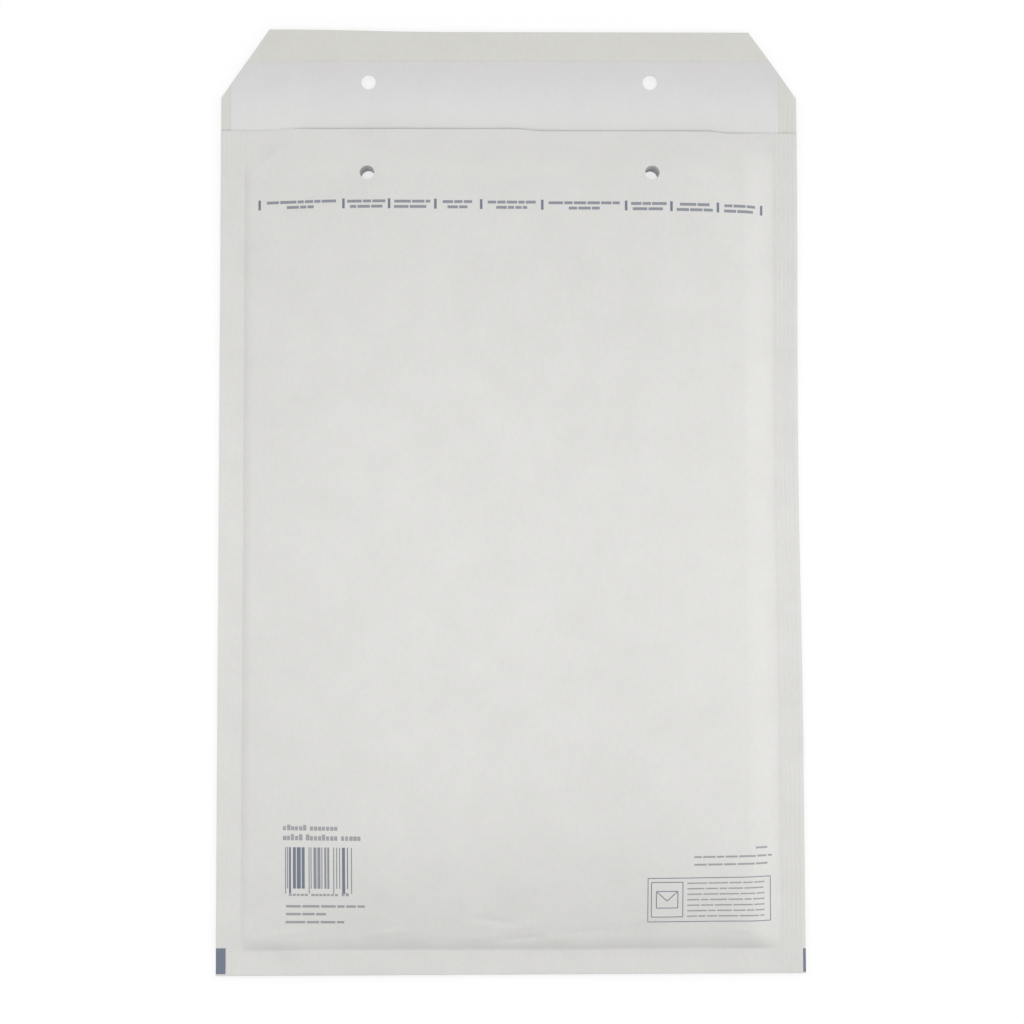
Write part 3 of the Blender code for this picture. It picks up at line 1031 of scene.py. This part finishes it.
def add_node(nodes, kind, inputs=None, **settings):
    node = nodes.new("ShaderNode" + kind)
    for name, value in settings.items():
        setattr(node, name, value)
    set_inputs(node, inputs or {})
    return node


def new_material(name):
    """A material, with its nodes and shader, and places in the row frame."""
    material = bpy.data.materials.new(name)
    material.use_nodes = True
    nodes = material.node_tree.nodes
    place = add_node(nodes, "TexCoord").outputs["Object"]
    return material, nodes, nodes["Principled BSDF"], place


def add_noise(nodes, place, scale, detail, roughness=0.5, stretch=(1, 1, 1)):
    """Noise whose scale is in features per metre."""
    mapping = add_node(nodes, "Mapping", {"Vector": place, "Scale": stretch})
    stretched = mapping.outputs["Vector"]
    inputs = {"Vector": stretched, "Scale": scale, "Detail": detail, "Roughness": roughness}
    return add_node(nodes, "TexNoise", inputs).outputs["Fac"]


def add_range(nodes, noise, low, high):
    """Noise spread over a range."""
    least, most = NOISE_SPREAD
    inputs = {"Value": noise, "From Min": least, "From Max": most, "To Min": low, "To Max": high}
    return add_node(nodes, "MapRange", inputs).outputs["Result"]


def add_mix(nodes, factor, dark, light):
    """A colour from dark to light, as a factor goes from 0 to 1."""
    inputs = {"Factor": factor, "A": (*dark, 1.0), "B": (*light, 1.0)}
    return add_node(nodes, "Mix", inputs, data_type="RGBA").outputs["Result"]


def add_painted_shade(nodes, place, colour, painted_shade_colour):
    """Painted shade: a colour multiplied by another one by and by towards the flap's free edge,
    for the light that falls off there.
    """
    along = add_node(nodes, "SeparateXYZ", {"Vector": place}).outputs["Y"]
    start, end = PAINTED_SHADE_SPAN
    inputs = {"Value": along, "From Min": start, "From Max": end}
    share = add_node(nodes, "MapRange", inputs, interpolation_type="SMOOTHSTEP")
    inputs = {"Factor": share.outputs["Result"], "A": colour, "B": (*painted_shade_colour, 1.0)}
    mix = add_node(nodes, "Mix", inputs, data_type="RGBA", blend_type="MULTIPLY")
    return mix.outputs["Result"]


def add_bump(nodes, height, distance, strength):
    inputs = {"Height": height, "Distance": distance, "Strength": strength}
    return add_node(nodes, "Bump", inputs).outputs["Normal"]


def fibrous(name, look):
    """Paper: clouds and fibres in its colour, and a fine tooth. It may get painted shade up the
    flap.
    """
    material, nodes, shader, place = new_material(name)
    clouds = add_noise(nodes, place, scale=60, detail=4, roughness=0.6)
    fibres = add_noise(
        nodes, place, scale=900, detail=3, roughness=0.65, stretch=(1.0, 0.45, 1.0)
    )
    both = add_node(nodes, "Mix", {"Factor": 0.5, "A": clouds, "B": fibres})
    share = add_range(nodes, both.outputs["Result"], 0.0, 1.0)
    colour = add_mix(nodes, share, look.dark, look.light)
    # painted shade: darker towards the flap's free edge, where the light falls off
    if look.shade:
        colour = add_painted_shade(nodes, place, colour, look.shade)
    set_inputs(shader, {
        "Base Color": colour,
        "Roughness": add_range(nodes, fibres, *look.roughness),
        "Normal": add_bump(nodes, fibres, distance=0.00004, strength=look.tooth),
        "Specular IOR Level": PAPER_SPECULAR,
    })
    return material


def clear_film(name):
    """Bubble film: clear, glossy and slightly wrinkled."""
    material, nodes, shader, place = new_material(name)
    wrinkles = add_noise(nodes, place, scale=260, detail=3)
    haze = add_noise(nodes, place, scale=40, detail=2)
    set_inputs(shader, {
        "Base Color": add_mix(nodes, haze, *FILM_COLOURS),
        "Roughness": add_range(nodes, wrinkles, *FILM_ROUGHNESS),
        "Normal": add_bump(nodes, wrinkles, distance=0.0003, strength=0.5),
        "Alpha": FILM_OPACITY,
    })
    return material


def tacky(name):
    """Hot melt adhesive with the streaks that its coating leaves."""
    material, nodes, shader, place = new_material(name)
    streaks = add_noise(nodes, place, scale=400, detail=3, stretch=(0.2, 1.0, 1.0))
    set_inputs(shader, {
        "Base Color": add_mix(nodes, streaks, *ADHESIVE_COLOURS),
        "Roughness": add_range(nodes, streaks, *ADHESIVE_ROUGHNESS),
    })
    return material


def printing_ink(name, dark, light):
    """Ink that has sunk into the paper unevenly."""
    material, nodes, shader, place = new_material(name)
    speckle = add_noise(nodes, place, scale=2600, detail=3, roughness=0.6)
    share = add_range(nodes, speckle, 0.0, 1.0)
    set_inputs(shader, {
        "Base Color": add_mix(nodes, share, dark, light),
        "Roughness": add_range(nodes, speckle, *INK_ROUGHNESS),
    })
    return material


def area_light(name, place, target, size_x, size_y, power):
    light = bpy.data.lights.new(name, "AREA")
    light.shape = "RECTANGLE"
    light.size = size_x
    light.size_y = size_y
    light.energy = power
    obj = new_object(name, light)
    obj.location = place
    obj.rotation_euler = (Vector(target) - Vector(place)).to_track_quat("-Z", "Y").to_euler()


def seen_rays(nodes):
    """1 for rays from the camera and by way of glossy or clear pieces, and else 0."""
    rays = add_node(nodes, "LightPath").outputs
    seen = rays["Is Camera Ray"]
    for kind in ("Is Glossy Ray", "Is Transmission Ray"):
        either = add_node(nodes, "Math", {0: seen, 1: rays[kind]}, operation="MAXIMUM")
        seen = either.outputs[0]
    return seen


def diffuse(nodes, level):
    return add_node(nodes, "BsdfDiffuse", {"Color": (level, level, level, 1.0)}).outputs[0]


def floor_material():
    """Lights the object as a pale floor does, and looks white apart from the shadow on it."""
    material = bpy.data.materials.new("floor")
    material.use_nodes = True
    nodes = material.node_tree.nodes
    nodes.clear()
    glow = add_node(nodes, "Emission", {"Strength": FLOOR_GLOW}).outputs[0]
    lit = add_node(nodes, "AddShader", {0: diffuse(nodes, FLOOR_SHADOW_SHARE), 1: glow})
    inputs = {0: seen_rays(nodes), 1: diffuse(nodes, FLOOR_LEVEL), 2: lit.outputs[0]}
    mix = add_node(nodes, "MixShader", inputs)
    add_node(nodes, "OutputMaterial", {"Surface": mix.outputs[0]})
    return material


def pale_floor():
    bm = bmesh.new()
    bmesh.ops.create_grid(bm, x_segments=1, y_segments=1, size=FLOOR_HALF)
    floor = object_from(bm, "floor")
    floor.data.materials.append(floor_material())
    floor.location.z = -FLOOR_GAP


def white_world():
    """Soft light from all sides, more from the flap's side. Seen directly, it is white."""
    world = bpy.data.worlds.new("world")
    bpy.context.scene.world = world
    world.use_nodes = True
    nodes = world.node_tree.nodes
    direction = add_node(nodes, "TexCoord").outputs["Generated"]
    lean = add_node(nodes, "VectorMath", {0: direction, 1: DOME_LEAN}, operation="DOT_PRODUCT")
    level = add_node(nodes, "Math", {0: lean.outputs["Value"], 1: DOME}, operation="ADD")
    seen = add_node(nodes, "LightPath").outputs["Is Camera Ray"]
    strength = add_node(nodes, "Mix", {"Factor": seen, "A": level.outputs[0], "B": 1.0})
    set_inputs(nodes["Background"], {
        "Color": (1.0, 1.0, 1.0, 1.0),
        "Strength": strength.outputs["Result"],
    })


def studio():
    """A pale floor, a white world, a wide lamp over the middle and a low one on the right."""
    pale_floor()
    white_world()
    area_light("wide_lamp", LAMP_PLACE, LAMP_TARGET, *LAMP_SIZE, LAMP_POWER)
    area_light("side_lamp", SIDE_PLACE, SIDE_TARGET, *SIDE_SIZE, SIDE_POWER)


def camera():
    data = bpy.data.cameras.new("camera")
    data.lens = CAMERA_LENS
    data.sensor_width = CAMERA_SENSOR
    obj = new_object("camera", data)
    obj.location = CAMERA_PLACE
    obj.rotation_mode = "ZYX"
    obj.rotation_euler = Euler([math.radians(a) for a in CAMERA_TURN], "ZYX")
    bpy.context.scene.camera = obj


def main():
    outside = fibrous("white_paper", OUTSIDE_LOOK)
    inside = fibrous("paper_inside", INSIDE_LOOK)
    liner = fibrous("liner_paper", LINER_LOOK)
    inks = [printing_ink(*ink) for ink in INKS]
    punch = fastener_punch()
    outer_sheet(punch, outside, inside)
    bubble_lining(punch, clear_film("clear_film"))
    closure(punch, tacky("adhesive"), liner)
    bpy.data.objects.remove(punch)
    front = Front()
    scale_row(front, inks)
    code_block(front, inks)
    notice_block(front, inks)
    edge_marks(front, inks)
    studio()
    camera()
    bpy.context.scene.view_settings.view_transform = "Standard"


main()
